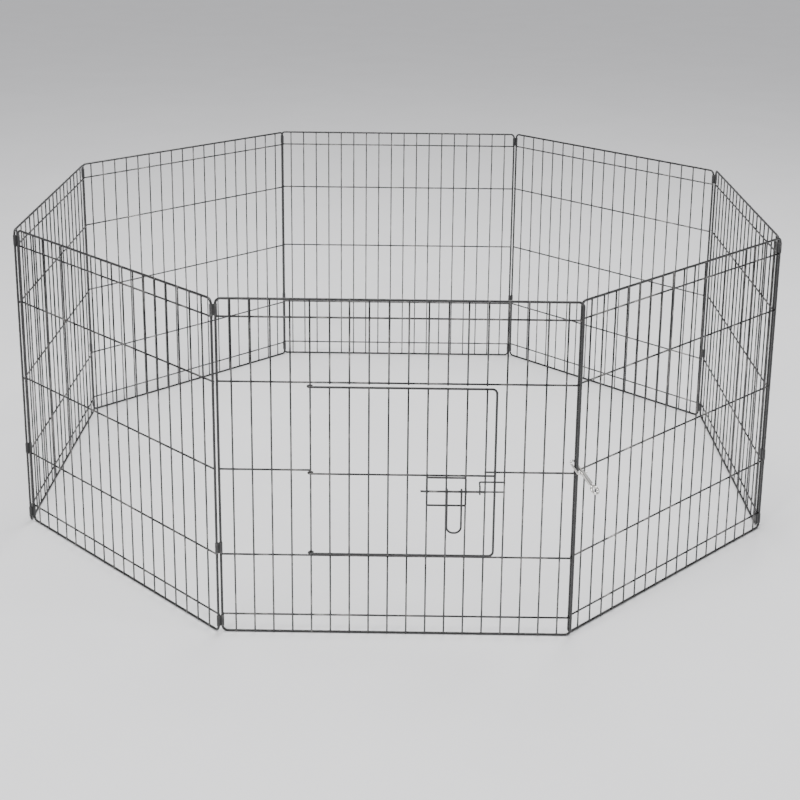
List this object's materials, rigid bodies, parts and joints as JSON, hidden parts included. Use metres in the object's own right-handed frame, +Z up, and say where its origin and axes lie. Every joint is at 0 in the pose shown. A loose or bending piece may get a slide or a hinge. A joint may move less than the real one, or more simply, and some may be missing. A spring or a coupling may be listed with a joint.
{
  "type": "folding wire exercise pen",
  "caption": "Folding black wire exercise pen standing in a ring of square panels, with clip hinges, a latched walk-through door and a bolt snap at the corner that opens.",
  "frame": {"origin": "on the floor at the middle of the ring of panels", "axes": "+Z up, -Y toward the panel with the door, +X to the right of someone facing that panel from outside"},
  "size_m": [1.4812, 1.497, 0.61],
  "materials": {
    "frame_wire": "satin black coat over welded steel wire",
    "grid_wire": "satin black coat over thin steel wire",
    "latch_wire": "satin black coat, rubbed where it slides",
    "clip_steel": "black coat over folded strip, worn at the edges",
    "snap_casting": "bright nickel plate over a casting",
    "snap_steel": "bright nickel plate over turned steel"
  },
  "bodies": {
    "front_panel": {"front_frame": "frame_wire", "front_uprights": "grid_wire", "front_crosswires": "grid_wire", "latch_keeper": "latch_wire", "door_stop": "grid_wire", "snap_body": "snap_casting"},
    "front_left_panel": {"front_left_frame": "frame_wire", "front_left_uprights": "grid_wire", "front_left_crosswires": "grid_wire", "front_to_front_left_clips": "clip_steel", "front_left_to_left_clips": "clip_steel"},
    "left_panel": {"left_frame": "frame_wire", "left_uprights": "grid_wire", "left_crosswires": "grid_wire"},
    "back_left_panel": {"back_left_frame": "frame_wire", "back_left_uprights": "grid_wire", "back_left_crosswires": "grid_wire", "left_to_back_left_clips": "clip_steel", "back_left_to_back_clips": "clip_steel"},
    "back_panel": {"back_frame": "frame_wire", "back_uprights": "grid_wire", "back_crosswires": "grid_wire"},
    "back_right_panel": {"back_right_frame": "frame_wire", "back_right_uprights": "grid_wire", "back_right_crosswires": "grid_wire", "back_to_back_right_clips": "clip_steel", "back_right_to_right_clips": "clip_steel"},
    "right_panel": {"right_frame": "frame_wire", "right_uprights": "grid_wire", "right_crosswires": "grid_wire"},
    "front_right_panel": {"front_right_frame": "frame_wire", "front_right_uprights": "grid_wire", "front_right_crosswires": "grid_wire", "right_to_front_right_clips": "clip_steel"},
    "door": {"door_frame": "frame_wire", "door_uprights": "grid_wire", "door_crosswire": "grid_wire", "latch_bracket": "latch_wire"},
    "latch_bolt": {"latch_bolt": "latch_wire"},
    "latch_handle": {"latch_handle": "latch_wire"},
    "snap_plunger": {"snap_plunger": "snap_steel"},
    "snap_ring": {"snap_ring": "snap_casting"}
  },
  "joints": [
    {"name": "front_left_fold", "type": "hinge", "parent": "front_panel", "child": "front_left_panel", "pos_m": [-0.29334, -0.7348, 0.305], "axis": [0, 0, -1], "range_deg": [0, 133]},
    {"name": "left_fold", "type": "hinge", "parent": "front_left_panel", "child": "left_panel", "pos_m": [-0.7348, -0.31216, 0.305], "axis": [0, 0, 1], "range_deg": [0, 222]},
    {"name": "back_left_fold", "type": "hinge", "parent": "left_panel", "child": "back_left_panel", "pos_m": [-0.7348, 0.29334, 0.305], "axis": [0, 0, -1], "range_deg": [0, 133]},
    {"name": "back_fold", "type": "hinge", "parent": "back_left_panel", "child": "back_panel", "pos_m": [-0.31216, 0.7348, 0.305], "axis": [0, 0, 1], "range_deg": [0, 222]},
    {"name": "back_right_fold", "type": "hinge", "parent": "back_panel", "child": "back_right_panel", "pos_m": [0.29334, 0.7348, 0.305], "axis": [0, 0, -1], "range_deg": [0, 133]},
    {"name": "right_fold", "type": "hinge", "parent": "back_right_panel", "child": "right_panel", "pos_m": [0.7348, 0.31216, 0.305], "axis": [0, 0, 1], "range_deg": [0, 222]},
    {"name": "front_right_fold", "type": "hinge", "parent": "right_panel", "child": "front_right_panel", "pos_m": [0.7348, -0.29334, 0.305], "axis": [0, 0, -1], "range_deg": [0, 133]},
    {"name": "door_swing", "type": "hinge", "parent": "front_panel", "child": "door", "pos_m": [-0.13817, -0.7364, 0.3012], "axis": [0, 0, -1], "range_deg": [0, 150]},
    {"name": "bolt_slide", "type": "slide", "parent": "door", "child": "latch_bolt", "axis": [1, 0, 0], "range_m": [-0.03, 0]},
    {"name": "handle_swing", "type": "hinge", "parent": "latch_bolt", "child": "latch_handle", "pos_m": [0.10484, -0.75071, 0.2765], "axis": [-1, 0, 0], "range_deg": [-5, 110]},
    {"name": "plunger_slide", "type": "slide", "parent": "front_panel", "child": "snap_plunger", "axis": [0.562, -0.4391, -0.7009], "range_m": [0, 0.008], "stiffness_N_per_m": 300},
    {"name": "ring_swivel", "type": "hinge", "parent": "front_panel", "child": "snap_ring", "pos_m": [0.33524, -0.74246, 0.28942], "axis": [0.562, -0.4391, -0.7009], "continuous": true}
  ],
  "couplings": [
    {"joint": "left_fold", "follows": "front_left_fold", "ratio": 1.6667},
    {"joint": "back_left_fold", "follows": "front_left_fold", "ratio": 1},
    {"joint": "back_fold", "follows": "front_left_fold", "ratio": 1.6667},
    {"joint": "back_right_fold", "follows": "front_left_fold", "ratio": 1},
    {"joint": "right_fold", "follows": "front_left_fold", "ratio": 1.6667},
    {"joint": "front_right_fold", "follows": "front_left_fold", "ratio": 1}
  ]
}
